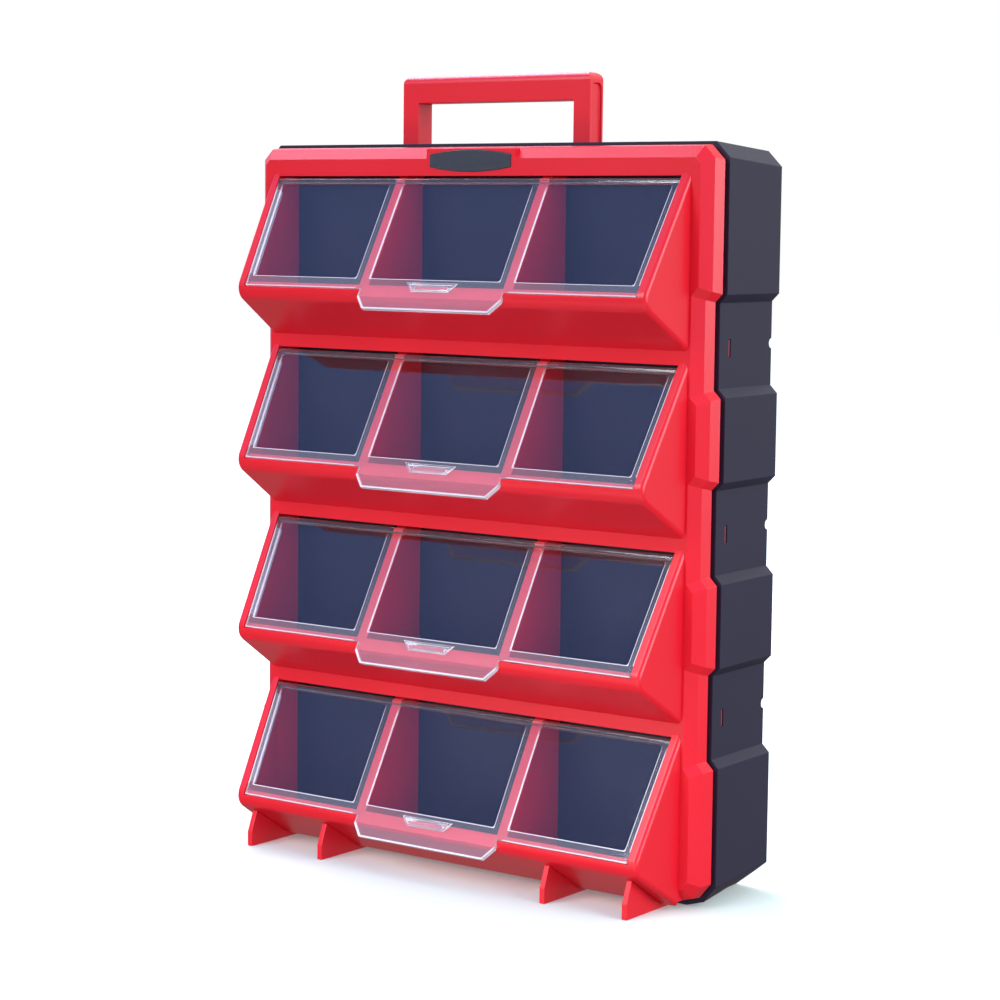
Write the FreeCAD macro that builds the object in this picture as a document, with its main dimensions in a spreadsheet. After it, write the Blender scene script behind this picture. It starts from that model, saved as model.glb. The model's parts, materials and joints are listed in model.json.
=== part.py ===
import FreeCAD, Part
import math
import os

import Sketcher

# Small parts organizer: a red front with four rows of bins under clear hinged lids,
# a dark wall behind the bins, a grey rear case and a carry handle that slides into the case.
# Frame: +X to the right, +Y to the back, +Z up, origin at the centre of the rear case's base.
# All lengths are in millimetres and all angles in degrees.

ROW_COUNT = 4
STEP_COUNT = ROW_COUNT - 1

# Driving dimensions, kept in the sheet under these names.
SIZES = {
    # Rear case
    "case_half_width": 149.0,
    "case_height": 383.8,
    "case_depth": 53.0,
    "case_wall": 3.0,
    "case_side_taper": 1.6,
    "case_top_taper": 3.4,
    "case_top_corner": 8.0,
    "corner_width": 17.0,
    "corner_height": 11.5,
    "corner_knee_inset": 7.0,
    "corner_knee_rise": 3.0,
    "back_corner_width": 18.0,
    "back_corner_height": 14.4,
    "back_corner_knee_inset": 7.0,
    "back_corner_knee_rise": 8.6,
    "recess_step": 4.0,
    "recess_half_height": 21.3,
    "notch_radius": 2.5,
    "notch_depth": 1.5,
    "post_radius": 4.5,
    "post_side_margin": 53.0,
    "post_end_margin": 70.0,
    # Front rim and panel
    "rim_depth": 10.0,
    "rim_groove": 3.0,
    "rim_side_step": 1.0,
    "rim_top_step": 1.8,
    "rim_base_step": 3.0,
    "rim_edge_depth": 5.0,
    "rim_edge_inset": 2.7,
    "rim_face_inset": 7.8,
    "rim_edge_end_inset": 0.6,
    "rim_face_end_inset": 6.4,
    "rim_wall": 2.2,
    "panel_wall": 2.5,
    "spigot_wall": 2.0,
    "spigot_reach": 4.0,
    "fit_gap": 0.3,
    # Snap hooks and their slits
    "hook_thickness": 1.6,
    "hook_half_height": 4.2,
    "hook_reach": 6.9,
    "hook_drop": 1.3,
    "slit_width": 1.2,
    # Bin rows
    "first_row_drop": 17.0,
    "last_row_rise": 4.7,
    "row_gap": 9.5,
    "lid_tilt": 29.45,
    "bin_side_margin": 14.0,
    "bin_draft": 4.0,
    "bin_wall": 2.3,
    "underside_lip": 2.4,
    "nose_depth": 6.6,
    "nose_radius": 8.0,
    "cheek_thickness": 5.1,
    "cheek_nose_thickness": 5.6,
    "cheek_proud": 0.6,
    "cheek_round": 2.5,
    "middle_bin_half_width": 43.3,
    "divider_thickness": 6.4,
    "divider_wall": 2.0,
    "back_wall_setback": 3.6,
    "back_wall_thickness": 1.5,
    # Lids
    "lid_thickness": 2.2,
    "lid_end_margin": 5.1,
    "lid_gap": 0.3,
    "ledge_gap": 0.3,
    "hinge_drop": 2.6,
    "hinge_depth": 1.6,
    "hinge_radius": 1.7,
    "hinge_fit": 0.08,
    "pin_reach": 2.6,
    "tab_half_width": 46.0,
    "tab_length": 11.5,
    "tab_corner_length": 6.5,
    "tab_corner_width": 5.5,
    "window_sink": 0.6,
    "window_start": 5.0,
    "window_end_margin": 6.0,
    "window_side_margin": 3.4,
    "window_round": 2.0,
    "mullion_half_width": 4.4,
    "flange_depth": 3.0,
    "flange_thickness": 1.5,
    "flange_start": 8.0,
    "flange_end_margin": 8.0,
    "slot_half_width": 10.5,
    "slot_length": 2.2,
    "slot_end_margin": 0.3,
    "catch_gap": 0.3,
    # Carry handle
    "handle_half_width": 60.6,
    "handle_leg_width": 10.4,
    "handle_depth": 12.0,
    "handle_setback": 7.5,
    "handle_gap": 21.7,
    "grip_height": 14.3,
    "grip_round": 4.0,
    "leg_recess_depth": 1.2,
    "leg_recess_rim": 1.6,
    "leg_recess_arch": 3.0,
    "sleeve_length": 28.0,
    "sleeve_wall": 1.6,
    "sleeve_gap": 0.4,
    "stop_height": 6.0,
    "stop_flare": 2.0,
    # Feet
    "foot_side_margin": 11.5,
    "foot_spacing": 50.0,
    "foot_thickness": 3.0,
    "foot_setback": 4.7,
    "foot_lean": 4.4,
    "foot_toe": 8.0,
    # Badge
    "badge_half_length": 26.0,
    "badge_half_height": 5.6,
    "badge_end_half_height": 3.2,
    "badge_proud": 0.6,
    "badge_sink": 0.8,
    "badge_centre_drop": 9.3,
    "boss_end_margin": 2.6,
    "boss_side_margin": 0.6,
    # Length by which cuts run past the material
    "overrun": 5.0,
}

FRONT = "XZ_Plane"
SIDE = "YZ_Plane"
TOP = "XY_Plane"

doc = FreeCAD.newDocument("organizer")
sheet = doc.addObject("Spreadsheet::Sheet", "Sizes")


class Size:
    """A number that carries its value and the expression that binds it to the sheet."""

    def __init__(self, value, text):
        self.value = value
        self.text = text

    def __add__(self, other):
        other = as_size(other)
        return Size(self.value + other.value, "(" + self.text + " + " + other.text + ")")

    def __sub__(self, other):
        other = as_size(other)
        return Size(self.value - other.value, "(" + self.text + " - " + other.text + ")")

    def __mul__(self, other):
        other = as_size(other)
        return Size(self.value * other.value, self.text + " * " + other.text)

    def __truediv__(self, other):
        other = as_size(other)
        return Size(self.value / other.value, self.text + " / (" + other.text + ")")

    def __neg__(self):
        return Size(-self.value, "(0 - " + self.text + ")")


def as_size(number):
    """A plain number as a Size."""
    if isinstance(number, Size):
        return number
    return Size(number, "(" + str(number) + ")")


def sine(angle):
    return Size(math.sin(math.radians(angle.value)), "sin(" + angle.text + ")")


def cosine(angle):
    return Size(math.cos(math.radians(angle.value)), "cos(" + angle.text + ")")


def fill_sheet():
    """Writes the driving dimensions into the sheet and returns them as Sizes by name."""
    sizes = {}
    for row, (name, value) in enumerate(SIZES.items(), start=1):
        sheet.set("A" + str(row), name)
        sheet.set("B" + str(row), str(value))
        sheet.setAlias("B" + str(row), name)
        sizes[name] = Size(value, "Sizes." + name)
    doc.recompute()
    return sizes


D = fill_sheet()
ZERO = as_size(0)

# Places that several pieces share
CASE_FRONT = -(D["case_depth"] / 2)
CASE_SETBACK = D["rim_depth"] + D["rim_groove"]
PANEL_PLANE = CASE_FRONT - CASE_SETBACK
BIN_BACK = CASE_SETBACK + D["back_wall_setback"]
SPIGOT_END = CASE_SETBACK + D["spigot_reach"]
HOOK_END = SPIGOT_END + D["hook_reach"]
TILT_SIN = sine(D["lid_tilt"])
TILT_COS = cosine(D["lid_tilt"])
SHELF = D["cheek_proud"] / TILT_SIN
ROW_ROOM = D["case_height"] - D["first_row_drop"] - D["last_row_rise"] - D["row_gap"] * STEP_COUNT
BIN_DROP = ROW_ROOM / ROW_COUNT
BIN_REACH = BIN_DROP * TILT_COS
BIN_FLOOR = BIN_DROP - D["bin_wall"] / TILT_COS
BIN_FRONT = BIN_REACH * TILT_SIN + D["cheek_proud"] * TILT_COS
WELL_REACH = BIN_FRONT - D["nose_depth"]
UNDERSIDE = BIN_DROP + D["underside_lip"]
BIN_HALF_WIDTH = D["case_half_width"] - D["bin_side_margin"]
OPENING_HALF_WIDTH = BIN_HALF_WIDTH - D["cheek_thickness"]
DIVIDER_PLACE = D["middle_bin_half_width"] + D["divider_thickness"] / 2
LID_SEAT = D["lid_thickness"] + D["ledge_gap"]
LID_END = BIN_REACH - D["lid_end_margin"]
TAB_END = LID_END + D["tab_length"]
SLOT_END = LID_END - D["slot_end_margin"]
SLOT_START = SLOT_END - D["slot_length"]
TOP_CORNER_SHARE = 2 - math.sqrt(2)
STEP_SHARE = math.sqrt(2) - 1
# What the lower corner's sizes lose for each unit that the outline is drawn in
LOWER_CORNER_SHARES = {"width": 0.86, "height": 0.64, "knee_inset": 0.42, "knee_rise": 0.13}


def row_top(row):
    """Height of the top edge of a row's opening, counted from the top row."""
    return D["case_height"] - D["first_row_drop"] - (BIN_DROP + D["row_gap"]) * row


def slope_point(along, inward):
    """A point in a row's side view: so far down the lid's slope and so far in behind it."""
    across = inward * TILT_COS - along * TILT_SIN
    height = ZERO - along * TILT_COS - inward * TILT_SIN
    return across, height


def opening_half_width(depth):
    """Half the width between the cheeks' inner faces at a depth in front of the panel."""
    narrowing = D["bin_draft"] + D["cheek_nose_thickness"] - D["cheek_thickness"]
    return OPENING_HALF_WIDTH - narrowing * depth / BIN_FRONT


def add_body(name, across=ZERO, back=ZERO, height=ZERO):
    """A body placed by expressions, named after the piece that it is."""
    body = doc.addObject("PartDesign::Body", name)
    body.Label = name
    for axis, place in zip("xyz", (across, back, height)):
        body.setExpression("Placement.Base." + axis, place.text)
    return body


def add_sketch(body, name, role, place):
    """A sketch on one of the body's origin planes, moved along its axis to the place."""
    sketch = body.newObject("Sketcher::SketchObject", body.Name + "_" + name)
    plane = [feature for feature in body.Origin.OriginFeatures if feature.Role == role][0]
    sketch.AttachmentSupport = [(plane, "")]
    sketch.MapMode = "FlatFace"
    along_normal = -place if role == FRONT else place
    sketch.setExpression("AttachmentOffset.Base.z", along_normal.text)
    return sketch


def fix_point(sketch, geometry, end, point):
    """Ties a point of the sketch to the origin by two bound distances."""
    for kind, size in zip(("DistanceX", "DistanceY"), point):
        index = sketch.addConstraint(Sketcher.Constraint(kind, -1, 1, geometry, end, size.value))
        sketch.setExpression("Constraints[" + str(index) + "]", size.text)


def add_loop(sketch, points):
    """A closed outline of straight edges through the points."""
    first = sketch.GeometryCount
    corners = [FreeCAD.Vector(x.value, y.value, 0) for x, y in points]
    for start, end in zip(corners, corners[1:] + corners[:1]):
        sketch.addGeometry(Part.LineSegment(start, end))
    for number, point in enumerate(points):
        following = first + (number + 1) % len(points)
        sketch.addConstraint(Sketcher.Constraint("Coincident", first + number, 2, following, 1))
        fix_point(sketch, first + number, 1, point)


def add_circle(sketch, point, radius):
    """A circle about a bound point with a bound radius."""
    centre = FreeCAD.Vector(point[0].value, point[1].value, 0)
    geometry = sketch.addGeometry(Part.Circle(centre, FreeCAD.Vector(0, 0, 1), radius.value))
    fix_point(sketch, geometry, 3, point)
    index = sketch.addConstraint(Sketcher.Constraint("Radius", geometry, radius.value))
    sketch.setExpression("Constraints[" + str(index) + "]", radius.text)


def rectangle(left, right, low, high):
    return [(left, low), (right, low), (right, high), (left, high)]


def mirrored(points):
    """The points with their mirror images across the middle, as one outline."""
    return points + [(-x, y) for x, y in reversed(points)]


def loops_sketch(body, name, role, place, *loops):
    sketch = add_sketch(body, name, role, place)
    for loop in loops:
        add_loop(sketch, loop)
    return sketch


def extrude(body, kind, sketch, length, both_ways=False, backward=False):
    """A pad or pocket of a sketch. It fails loudly when it leaves the volume as it was."""
    before = body.Shape.Volume if body.Tip else 0
    feature = body.newObject("PartDesign::" + kind, sketch.Name + "_" + kind)
    feature.Profile = sketch
    feature.SideType = "Symmetric" if both_ways else "One side"
    feature.Reversed = backward
    feature.setExpression("Length", length.text)
    doc.recompute()
    if body.Shape.Volume == before:
        raise RuntimeError(feature.Name + " changed nothing")
    return feature


def loft(body, kind, *sketches):
    """A straight-sided loft through sketches with as many corners each."""
    feature = body.newObject("PartDesign::" + kind, sketches[0].Name + "_" + kind)
    feature.Profile = sketches[0]
    feature.Sections = list(sketches[1:])
    feature.Ruled = True
    doc.recompute()
    return feature


def round_edges(body, name, radius, wanted):
    """Rounds the edges whose middle point and direction the test accepts."""
    base = body.Tip
    chosen = []
    for number, edge in enumerate(base.Shape.Edges, start=1):
        middle = edge.valueAt((edge.FirstParameter + edge.LastParameter) / 2)
        if wanted(edge, middle):
            chosen.append("Edge" + str(number))
    feature = body.newObject("PartDesign::Fillet", body.Name + "_" + name)
    feature.Base = (base, chosen)
    feature.setExpression("Radius", radius.text)
    doc.recompute()
    return feature


def near(value, size, tolerance_share=1e-4):
    """True where a measured coordinate is the size, within a small share of the case's height."""
    return abs(value - size.value) < tolerance_share * D["case_height"].value


def depth_share(depth):
    """How far back in the case a depth behind its front edge lies."""
    return depth / D["case_depth"]


def corner_size(name, inset, share):
    """One size of the lower corner at a share of the case's depth, drawn in by an inset."""
    front = D["corner_" + name]
    back = D["back_corner_" + name]
    return front + (back - front) * share - inset * LOWER_CORNER_SHARES[name]


def stepped_side(side, roof, floor, inset, share):
    """Right half of the outline from the base up: two-facet corner, side recesses, top corner."""
    knee_height = floor + corner_size("knee_rise", inset, share)
    right = [
        (side - corner_size("width", inset, share), floor),
        (side - corner_size("knee_inset", inset, share), knee_height),
        (side, floor + corner_size("height", inset, share)),
    ]
    inner = D["recess_half_height"] + inset * STEP_SHARE
    outer = inner + D["recess_step"]
    for centre in reversed(recess_centres()):
        right += [
            (side, centre - outer),
            (side - D["recess_step"], centre - inner),
            (side - D["recess_step"], centre + inner),
            (side, centre + outer),
        ]
    top_cut = D["case_top_corner"] - inset * TOP_CORNER_SHARE
    right += [(side, roof - top_cut), (side - top_cut, roof)]
    return right


def case_side(inset, share):
    """Right half of the case's outline at a share of its depth, drawn in by an inset."""
    side = D["case_half_width"] - D["case_side_taper"] * share - inset
    roof = D["case_height"] - D["case_top_taper"] * share - inset
    return stepped_side(side, roof, inset, inset, share)


def side_cut(sign, share):
    """What the case's tapered side takes off a plain block at a share of its depth."""
    right = case_side(ZERO, share)
    outside = D["case_half_width"] + D["overrun"]
    above = D["case_height"] + D["overrun"]
    below = -D["overrun"]
    loop = right + [(right[-1][0], above), (outside, above), (outside, below), (right[0][0], below)]
    return [(x * sign, y) for x, y in loop]


def top_cut():
    """What the case's sloping top takes off a plain block, seen from the side."""
    depth = D["case_depth"] + D["overrun"]
    lowered = D["case_height"] - D["case_top_taper"] * depth_share(depth)
    above = D["case_height"] + D["overrun"]
    end = CASE_FRONT + depth
    return [(CASE_FRONT, D["case_height"]), (end, lowered), (end, above), (CASE_FRONT, above)]


def rim_outline(inset, end_inset):
    """The red front's outline, a step in from the case all round."""
    side_inset = D["rim_side_step"] + inset
    side = D["case_half_width"] - side_inset
    roof = D["case_height"] - D["rim_top_step"] - end_inset
    floor = D["rim_base_step"] + end_inset
    return mirrored(stepped_side(side, roof, floor, side_inset, ZERO))


def recess_centres():
    """Heights of the side recesses, each level with the bottom of a row."""
    return [row_top(step) - BIN_DROP for step in range(STEP_COUNT)]


def hook_centres():
    """Heights of the snap hooks and their slits, a little under the recesses' middles."""
    return [centre - D["hook_drop"] for centre in recess_centres()]


def leg_span(extra):
    """Inner and outer X of a handle leg, grown by an extra on both sides."""
    outer = D["handle_half_width"] + extra
    inner = D["handle_half_width"] - D["handle_leg_width"] - extra
    return inner, outer


def leg_loops(extra):
    """Both legs' sections seen from above, grown by an extra all round."""
    inner, outer = leg_span(extra)
    front = CASE_FRONT + D["handle_setback"] - extra
    back = CASE_FRONT + D["handle_setback"] + D["handle_depth"] + extra
    return rectangle(inner, outer, front, back), rectangle(-outer, -inner, front, back)


def make_rear_case():
    """Grey tray, open to the front, with posts, handle sleeves and snap slits."""
    body = add_body("rear_case")
    back = D["case_depth"] / 2
    inner_back = back - D["case_wall"]
    block_loop = rectangle(-D["case_half_width"], D["case_half_width"], ZERO, D["case_height"])
    block = loops_sketch(body, "block", FRONT, CASE_FRONT, block_loop)
    extrude(body, "Pad", block, D["case_depth"], backward=True)
    whole_depth = depth_share(D["case_depth"])
    for sign, name in ((1, "right"), (-1, "left")):
        cut_front = loops_sketch(body, "front_cut_" + name, FRONT, CASE_FRONT, side_cut(sign, ZERO))
        cut_back = loops_sketch(body, "back_cut_" + name, FRONT, back, side_cut(sign, whole_depth))
        loft(body, "SubtractiveLoft", cut_front, cut_back)
    top_taper = loops_sketch(body, "top_taper", SIDE, ZERO, top_cut())
    extrude(body, "Pocket", top_taper, (D["case_half_width"] + D["overrun"]) * 2, both_ways=True)
    inner_share = depth_share(inner_back - CASE_FRONT)
    mouth_loop = mirrored(case_side(D["case_wall"], ZERO))
    floor_loop = mirrored(case_side(D["case_wall"], inner_share))
    hollow_front = loops_sketch(body, "hollow_front", FRONT, CASE_FRONT, mouth_loop)
    hollow_back = loops_sketch(body, "hollow_back", FRONT, inner_back, floor_loop)
    loft(body, "SubtractiveLoft", hollow_front, hollow_back)

    posts = add_sketch(body, "posts", FRONT, inner_back + D["case_wall"] / 2)
    for side in (-1, 1):
        across = (D["case_half_width"] - D["post_side_margin"]) * side
        for height in (D["post_end_margin"], D["case_height"] - D["post_end_margin"]):
            add_circle(posts, (across, height), D["post_radius"])
    post_end = PANEL_PLANE + BIN_BACK + D["back_wall_thickness"]
    extrude(body, "Pad", posts, inner_back + D["case_wall"] / 2 - post_end)

    sleeve_foot = D["case_height"] - D["case_wall"] - D["sleeve_length"]
    grown = D["sleeve_gap"] + D["sleeve_wall"]
    leg_share = depth_share(D["handle_setback"] + D["handle_depth"] / 2)
    sleeve_top = D["case_height"] - D["case_top_taper"] * leg_share - D["case_wall"] / 2
    sleeves = loops_sketch(body, "sleeves", TOP, sleeve_foot, *leg_loops(grown))
    extrude(body, "Pad", sleeves, sleeve_top - sleeve_foot)
    bores = loops_sketch(body, "bores", TOP, D["case_height"], *leg_loops(D["sleeve_gap"]))
    extrude(body, "Pocket", bores, D["case_wall"] + D["sleeve_length"] + D["overrun"])

    slit_centre = PANEL_PLANE + HOOK_END - D["slit_width"] / 2
    slit_front = slit_centre - D["slit_width"] / 2 - D["fit_gap"]
    slit_back = slit_centre + D["slit_width"] / 2 + D["fit_gap"]
    slit_half_height = D["hook_half_height"] + D["fit_gap"]
    loops = []
    for centre in hook_centres():
        loops.append(rectangle(slit_front, slit_back, centre - slit_half_height, centre + slit_half_height))
    slits = loops_sketch(body, "slits", SIDE, ZERO, *loops)
    extrude(body, "Pocket", slits, D["case_half_width"] * 2, both_ways=True)
    add_back_notches(body, back)
    return body


def add_back_notches(body, back):
    """Small half-round notches in the back edges, at the middle of each recess."""
    side = D["case_half_width"] - D["case_side_taper"] - D["recess_step"]
    for sign, name in ((1, "right"), (-1, "left")):
        notches = add_sketch(body, "notches_" + name, SIDE, (side + D["overrun"]) * sign)
        for centre in recess_centres():
            add_circle(notches, (back, centre), D["notch_radius"])
        extrude(body, "Pocket", notches, D["overrun"] + D["notch_depth"], backward=sign < 0)


def make_back_wall():
    """Flat dark wall that closes the bins behind, held by the case's posts."""
    body = add_body("bin_back_wall", back=PANEL_PLANE + BIN_BACK)
    outline = spigot_outline(D["spigot_wall"] + D["fit_gap"])
    sketch = loops_sketch(body, "plate", FRONT, ZERO, outline)
    extrude(body, "Pad", sketch, D["back_wall_thickness"], backward=True)
    return body


def spigot_outline(extra):
    """The spigot's outline, which fits in the mouth of the case's hollow, drawn in by an extra."""
    inset = D["case_wall"] + D["fit_gap"] + extra
    return mirrored(case_side(inset, depth_share(D["spigot_reach"])))


def bin_loop(row):
    """Outer outline of a bin row where it passes through the front panel."""
    top = row_top(row)
    return rectangle(-BIN_HALF_WIDTH, BIN_HALF_WIDTH, top - BIN_DROP, top + SHELF)


def make_front_panel():
    """Red front: faceted stepped rim, panel with four openings, spigot, snap hooks, badge boss."""
    body = add_body("front_panel", back=PANEL_PLANE)
    edge_outline = rim_outline(D["rim_edge_inset"], D["rim_edge_end_inset"])
    face_outline = rim_outline(D["rim_face_inset"], D["rim_face_end_inset"])
    rim_back = loops_sketch(body, "rim_back", FRONT, D["rim_depth"], rim_outline(ZERO, ZERO))
    rim_edge = loops_sketch(body, "rim_edge", FRONT, D["rim_edge_depth"], edge_outline)
    rim_face = loops_sketch(body, "rim_face", FRONT, ZERO, face_outline)
    loft(body, "AdditiveLoft", rim_back, rim_edge, rim_face)

    boss_centre = D["case_height"] - D["badge_centre_drop"]
    boss_side = D["badge_half_length"] + D["boss_end_margin"]
    boss_rise = D["badge_half_height"] + D["boss_side_margin"]
    boss_loop = rectangle(-boss_side, boss_side, boss_centre - boss_rise, boss_centre + boss_rise)
    boss = loops_sketch(body, "boss", FRONT, ZERO, boss_loop)
    extrude(body, "Pad", boss, D["rim_depth"], backward=True)
    seat = add_badge_sketch(body, "badge_seat", ZERO, boss_centre, D["fit_gap"] / 2)
    extrude(body, "Pocket", seat, D["badge_sink"])

    spigot = loops_sketch(body, "spigot", FRONT, D["rim_depth"], spigot_outline(ZERO))
    extrude(body, "Pad", spigot, D["rim_groove"] + D["spigot_reach"], backward=True)

    spigot_hollow = spigot_outline(D["spigot_wall"])
    hollow = loops_sketch(body, "hollow", FRONT, SPIGOT_END, spigot_hollow)
    extrude(body, "Pocket", hollow, D["rim_groove"] + D["spigot_reach"], backward=True)
    inner_outline = rim_outline(D["rim_face_inset"] + D["rim_wall"], D["rim_face_end_inset"] + D["rim_wall"])
    hollow_rim = loops_sketch(body, "hollow_rim", FRONT, D["rim_depth"], spigot_hollow)
    hollow_face = loops_sketch(body, "hollow_face", FRONT, D["panel_wall"], inner_outline)
    loft(body, "SubtractiveLoft", hollow_rim, hollow_face)

    openings = loops_sketch(body, "openings", FRONT, ZERO, *[bin_loop(row) for row in range(ROW_COUNT)])
    extrude(body, "Pocket", openings, SPIGOT_END + D["overrun"])
    add_snap_hooks(body)
    return body


def add_snap_hooks(body):
    """Barbed tongues that reach back inside the case's walls to the slits."""
    taper = D["case_side_taper"] * depth_share(D["spigot_reach"] + D["hook_reach"])
    case_inside = D["case_half_width"] - taper - D["recess_step"] - D["case_wall"]
    outer = case_inside - D["fit_gap"]
    inner = outer - D["hook_thickness"]
    barb = outer + D["case_wall"]
    profile = [
        (inner, CASE_SETBACK),
        (outer, CASE_SETBACK),
        (outer, HOOK_END - D["slit_width"]),
        (barb, HOOK_END - D["slit_width"]),
        (barb, HOOK_END - D["slit_width"] / 2),
        (outer, HOOK_END),
        (inner, HOOK_END),
    ]
    left_profile = [(-x, y) for x, y in reversed(profile)]
    for number, centre in enumerate(hook_centres(), start=1):
        hooks = loops_sketch(body, "hooks_" + str(number), TOP, centre, profile, left_profile)
        extrude(body, "Pad", hooks, D["hook_half_height"] * 2, both_ways=True)


def add_badge_sketch(body, name, place, centre, extra):
    """The badge's lozenge: short straight ends, long shallow arcs above and below."""
    sketch = add_sketch(body, name, FRONT, place)
    half_length = D["badge_half_length"] + extra
    end = D["badge_end_half_height"] + extra
    rise = D["badge_half_height"] - D["badge_end_half_height"]
    radius = (half_length * half_length + rise * rise) / (rise * 2)
    corners = [(-half_length, centre - end), (half_length, centre - end),
               (half_length, centre + end), (-half_length, centre + end)]
    points = [FreeCAD.Vector(x.value, y.value, 0) for x, y in corners]
    low = FreeCAD.Vector(0, (centre - end - rise).value, 0)
    high = FreeCAD.Vector(0, (centre + end + rise).value, 0)
    sketch.addGeometry(Part.Arc(points[0], low, points[1]))
    sketch.addGeometry(Part.LineSegment(points[1], points[2]))
    sketch.addGeometry(Part.Arc(points[2], high, points[3]))
    sketch.addGeometry(Part.LineSegment(points[3], points[0]))
    for arc, line_before, line_after in ((0, 3, 1), (2, 1, 3)):
        sketch.addConstraint(Sketcher.Constraint("Coincident", line_before, 2, arc, 1))
        sketch.addConstraint(Sketcher.Constraint("Coincident", arc, 2, line_after, 1))
        index = sketch.addConstraint(Sketcher.Constraint("Radius", arc, radius.value))
        sketch.setExpression("Constraints[" + str(index) + "]", radius.text)
    for line, start, end_point in ((1, 1, 2), (3, 3, 0)):
        fix_point(sketch, line, 1, corners[start])
        fix_point(sketch, line, 2, corners[end_point])
    return sketch


def make_badge_plate():
    """Bare lozenge plate let into the boss."""
    centre = D["case_height"] - D["badge_centre_drop"]
    body = add_body("badge_plate", back=PANEL_PLANE)
    sketch = add_badge_sketch(body, "plate", D["badge_sink"], centre, ZERO)
    extrude(body, "Pad", sketch, D["badge_sink"] + D["badge_proud"])
    return body


def side_wedge(sign):
    """What the draft takes off one side of a bin row, seen from above."""
    end = BIN_FRONT + D["overrun"]
    narrowing = D["bin_draft"] * end / BIN_FRONT
    outside = BIN_HALF_WIDTH + D["overrun"]
    loop = [
        (BIN_HALF_WIDTH, ZERO),
        (outside, ZERO),
        (outside, -end),
        (BIN_HALF_WIDTH - narrowing, -end),
    ]
    return [(x * sign, y) for x, y in loop]


def make_bin_row(row):
    """One row of bins: drafted cheeks, rounded nose, sloping underside, open to front and back."""
    body = add_body("bin_row_" + str(row + 1), back=PANEL_PLANE, height=row_top(row))
    nose = slope_point(BIN_REACH, -D["cheek_proud"])
    outer = loops_sketch(body, "outer", SIDE, ZERO, [(ZERO, SHELF), nose, (ZERO, -UNDERSIDE)])
    extrude(body, "Pad", outer, BIN_HALF_WIDTH * 2, both_ways=True)
    wedges = loops_sketch(body, "wedges", TOP, ZERO, side_wedge(-1), side_wedge(1))
    extrude(body, "Pocket", wedges, (UNDERSIDE + D["overrun"]) * 2, both_ways=True)
    round_edges(body, "nose", D["nose_radius"], lambda edge, middle: near(middle.y, -BIN_FRONT))
    nose_side = (BIN_HALF_WIDTH - D["bin_draft"] - D["cheek_proud"]).value

    def on_cheek(edge, middle):
        return abs(middle.x) > nose_side and not near(middle.y, ZERO)

    round_edges(body, "cheeks", D["cheek_round"], on_cheek)
    frame_loop = rectangle(-BIN_HALF_WIDTH, BIN_HALF_WIDTH, -BIN_DROP, SHELF)
    frame = loops_sketch(body, "frame", FRONT, ZERO, frame_loop)
    extrude(body, "Pad", frame, BIN_BACK, backward=True)
    cut_well(body)
    cut_lid_seat(body)
    return body


def cut_well(body):
    """The hollow of the row, narrower towards the nose, open behind and under the lid."""
    above = SHELF + D["overrun"]
    half_width = OPENING_HALF_WIDTH
    nose_half_width = opening_half_width(WELL_REACH)
    lid_line = above - WELL_REACH * TILT_COS / TILT_SIN
    floor_line = WELL_REACH * TILT_SIN / TILT_COS - BIN_FLOOR
    panel_loop = rectangle(-half_width, half_width, -BIN_FLOOR, above)
    nose_loop = rectangle(-nose_half_width, nose_half_width, floor_line, lid_line)
    well_panel = loops_sketch(body, "well_panel", FRONT, ZERO, panel_loop)
    well_nose = loops_sketch(body, "well_nose", FRONT, -WELL_REACH, nose_loop)
    loft(body, "SubtractiveLoft", well_panel, well_nose)
    back_loop = rectangle(-half_width, half_width, -BIN_FLOOR, ZERO)
    well_back = loops_sketch(body, "well_back", FRONT, ZERO, back_loop)
    extrude(body, "Pocket", well_back, BIN_BACK + D["overrun"])


def slope_loop(start, end, outer, inner):
    """A slanted rectangle in a row's side view, square to the lid's slope."""
    corners = ((start, outer), (end, outer), (end, inner), (start, inner))
    return [slope_point(along, inward) for along, inward in corners]


def cut_lid_seat(body):
    """Ledge for the lid's lower edge, gap for its tab, hinge sockets and the catch for its slot."""
    outside = -(D["cheek_proud"] + D["overrun"])
    ledge_start = LID_END - D["flange_end_margin"] - D["overrun"]
    ledge_loop = slope_loop(ledge_start, LID_END + D["lid_gap"] * 2, outside, LID_SEAT)
    ledge = loops_sketch(body, "ledge", SIDE, ZERO, ledge_loop)
    extrude(body, "Pocket", ledge, opening_half_width(WELL_REACH) * 2, both_ways=True)
    tab_loop = slope_loop(ledge_start, TAB_END + D["overrun"], outside, LID_SEAT)
    tab_gap = loops_sketch(body, "tab_gap", SIDE, ZERO, tab_loop)
    extrude(body, "Pocket", tab_gap, (D["tab_half_width"] + D["lid_gap"]) * 2, both_ways=True)
    sockets = add_sketch(body, "sockets", SIDE, ZERO)
    add_circle(sockets, slope_point(D["hinge_drop"], D["hinge_depth"]), D["hinge_radius"] + D["hinge_fit"])
    socket_reach = OPENING_HALF_WIDTH + D["pin_reach"] + D["lid_gap"]
    extrude(body, "Pocket", sockets, socket_reach * 2, both_ways=True)
    catch_start = SLOT_START + D["catch_gap"]
    catch_end = SLOT_END - D["catch_gap"]
    catch_loop = slope_loop(catch_start, catch_end, D["catch_gap"], LID_SEAT + D["bin_wall"])
    catch = loops_sketch(body, "catch", SIDE, ZERO, catch_loop)
    extrude(body, "Pad", catch, (D["slot_half_width"] - D["catch_gap"]) * 2, both_ways=True)


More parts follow.
